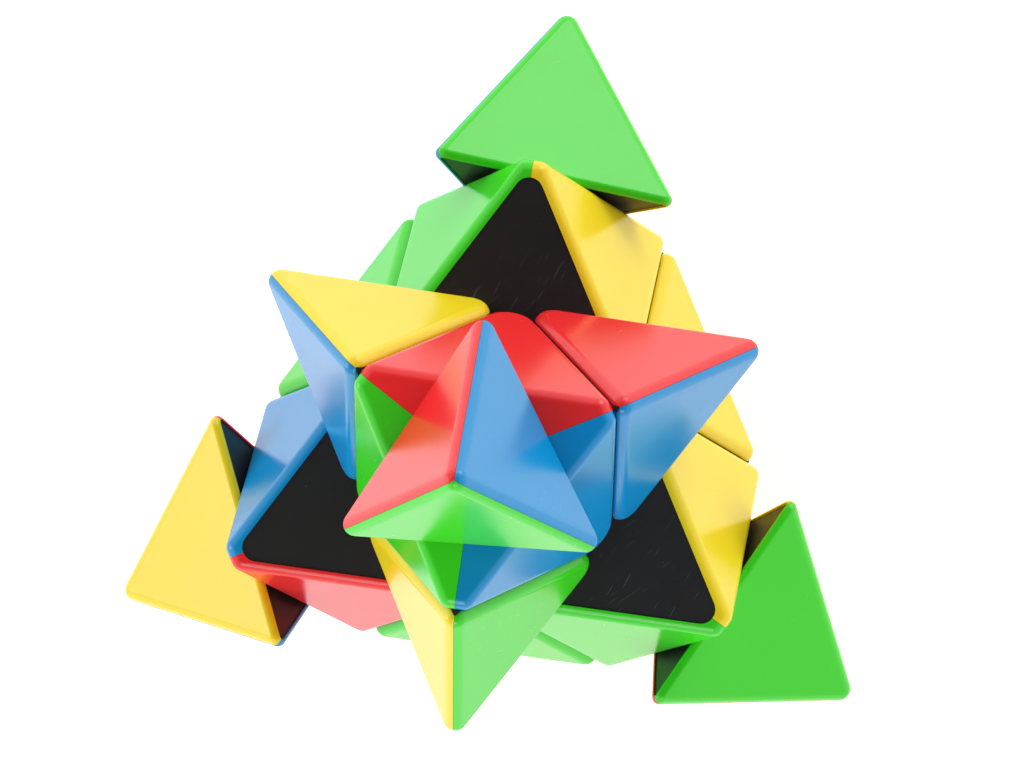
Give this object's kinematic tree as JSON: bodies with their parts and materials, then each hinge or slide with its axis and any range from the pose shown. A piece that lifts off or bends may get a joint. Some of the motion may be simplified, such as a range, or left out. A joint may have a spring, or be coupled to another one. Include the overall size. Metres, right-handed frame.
{
  "type": "pyramid twisty puzzle",
  "caption": "Tetrahedral twisty puzzle with turning corner layers and twisting tips: glossy coloured caps on black bodies, held to a sprung core. Shown part-turned.",
  "frame": {"origin": "centre of the core, where the four turning axes meet", "axes": "+Z along the top corner's turning axis, +Y towards the rear corner's azimuth"},
  "size_m": [0.0986, 0.0934, 0.0882],
  "materials": {
    "red_plastic": "glossy moulded",
    "green_plastic": "glossy moulded",
    "blue_plastic": "glossy moulded",
    "yellow_plastic": "glossy moulded",
    "black_plastic": "satin moulded, lightly rubbed",
    "core_nylon": "matt moulded",
    "steel": "bright"
  },
  "bodies": {
    "root": {"core": "core_nylon", "tension_screws": "steel", "tension_springs": "steel", "spring_washers": "steel", "rear_corner_body": "black_plastic", "rear_corner_blue_cap": "blue_plastic", "rear_corner_green_cap": "green_plastic", "rear_corner_yellow_cap": "yellow_plastic", "left_corner_body": "black_plastic", "left_corner_yellow_cap": "yellow_plastic", "left_corner_red_cap": "red_plastic", "left_corner_blue_cap": "blue_plastic", "right_corner_body": "black_plastic", "right_corner_red_cap": "red_plastic", "right_corner_yellow_cap": "yellow_plastic", "right_corner_green_cap": "green_plastic", "rear_left_edge_body": "black_plastic", "rear_left_edge_green_cap": "green_plastic", "rear_left_edge_blue_cap": "blue_plastic", "front_edge_body": "black_plastic", "front_edge_green_cap": "green_plastic", "front_edge_red_cap": "red_plastic", "rear_right_edge_body": "black_plastic", "rear_right_edge_yellow_cap": "yellow_plastic", "rear_right_edge_red_cap": "red_plastic"},
    "top_layer": {"top_corner_body": "black_plastic", "top_corner_blue_cap": "blue_plastic", "top_corner_red_cap": "red_plastic", "top_corner_green_cap": "green_plastic", "top_left_edge_body": "black_plastic", "top_left_edge_blue_cap": "blue_plastic", "top_left_edge_yellow_cap": "yellow_plastic", "top_front_edge_body": "black_plastic", "top_front_edge_green_cap": "green_plastic", "top_front_edge_yellow_cap": "yellow_plastic", "top_right_edge_body": "black_plastic", "top_right_edge_red_cap": "red_plastic", "top_right_edge_blue_cap": "blue_plastic"},
    "top_tip": {"top_tip_body": "black_plastic", "top_tip_blue_cap": "blue_plastic", "top_tip_red_cap": "red_plastic", "top_tip_green_cap": "green_plastic"},
    "rear_tip": {"rear_tip_body": "black_plastic", "rear_tip_blue_cap": "blue_plastic", "rear_tip_green_cap": "green_plastic", "rear_tip_yellow_cap": "yellow_plastic"},
    "left_tip": {"left_tip_body": "black_plastic", "left_tip_yellow_cap": "yellow_plastic", "left_tip_red_cap": "red_plastic", "left_tip_blue_cap": "blue_plastic"},
    "right_tip": {"right_tip_body": "black_plastic", "right_tip_red_cap": "red_plastic", "right_tip_yellow_cap": "yellow_plastic", "right_tip_green_cap": "green_plastic"}
  },
  "joints": [
    {"name": "top_layer_turn", "type": "hinge", "parent": "root", "child": "top_layer", "pos_m": [0, 0, 0], "axis": [0, 0, 1], "continuous": true},
    {"name": "top_tip_turn", "type": "hinge", "parent": "top_layer", "child": "top_tip", "pos_m": [0, 0, 0], "axis": [0, 0, 1], "continuous": true},
    {"name": "rear_tip_turn", "type": "hinge", "parent": "root", "child": "rear_tip", "pos_m": [0, 0, 0], "axis": [0, 0.9428, -0.3333], "continuous": true},
    {"name": "left_tip_turn", "type": "hinge", "parent": "root", "child": "left_tip", "pos_m": [0, 0, 0], "axis": [-0.8165, -0.4714, -0.3333], "continuous": true},
    {"name": "right_tip_turn", "type": "hinge", "parent": "root", "child": "right_tip", "pos_m": [0, 0, 0], "axis": [0.8165, -0.4714, -0.3333], "continuous": true}
  ]
}
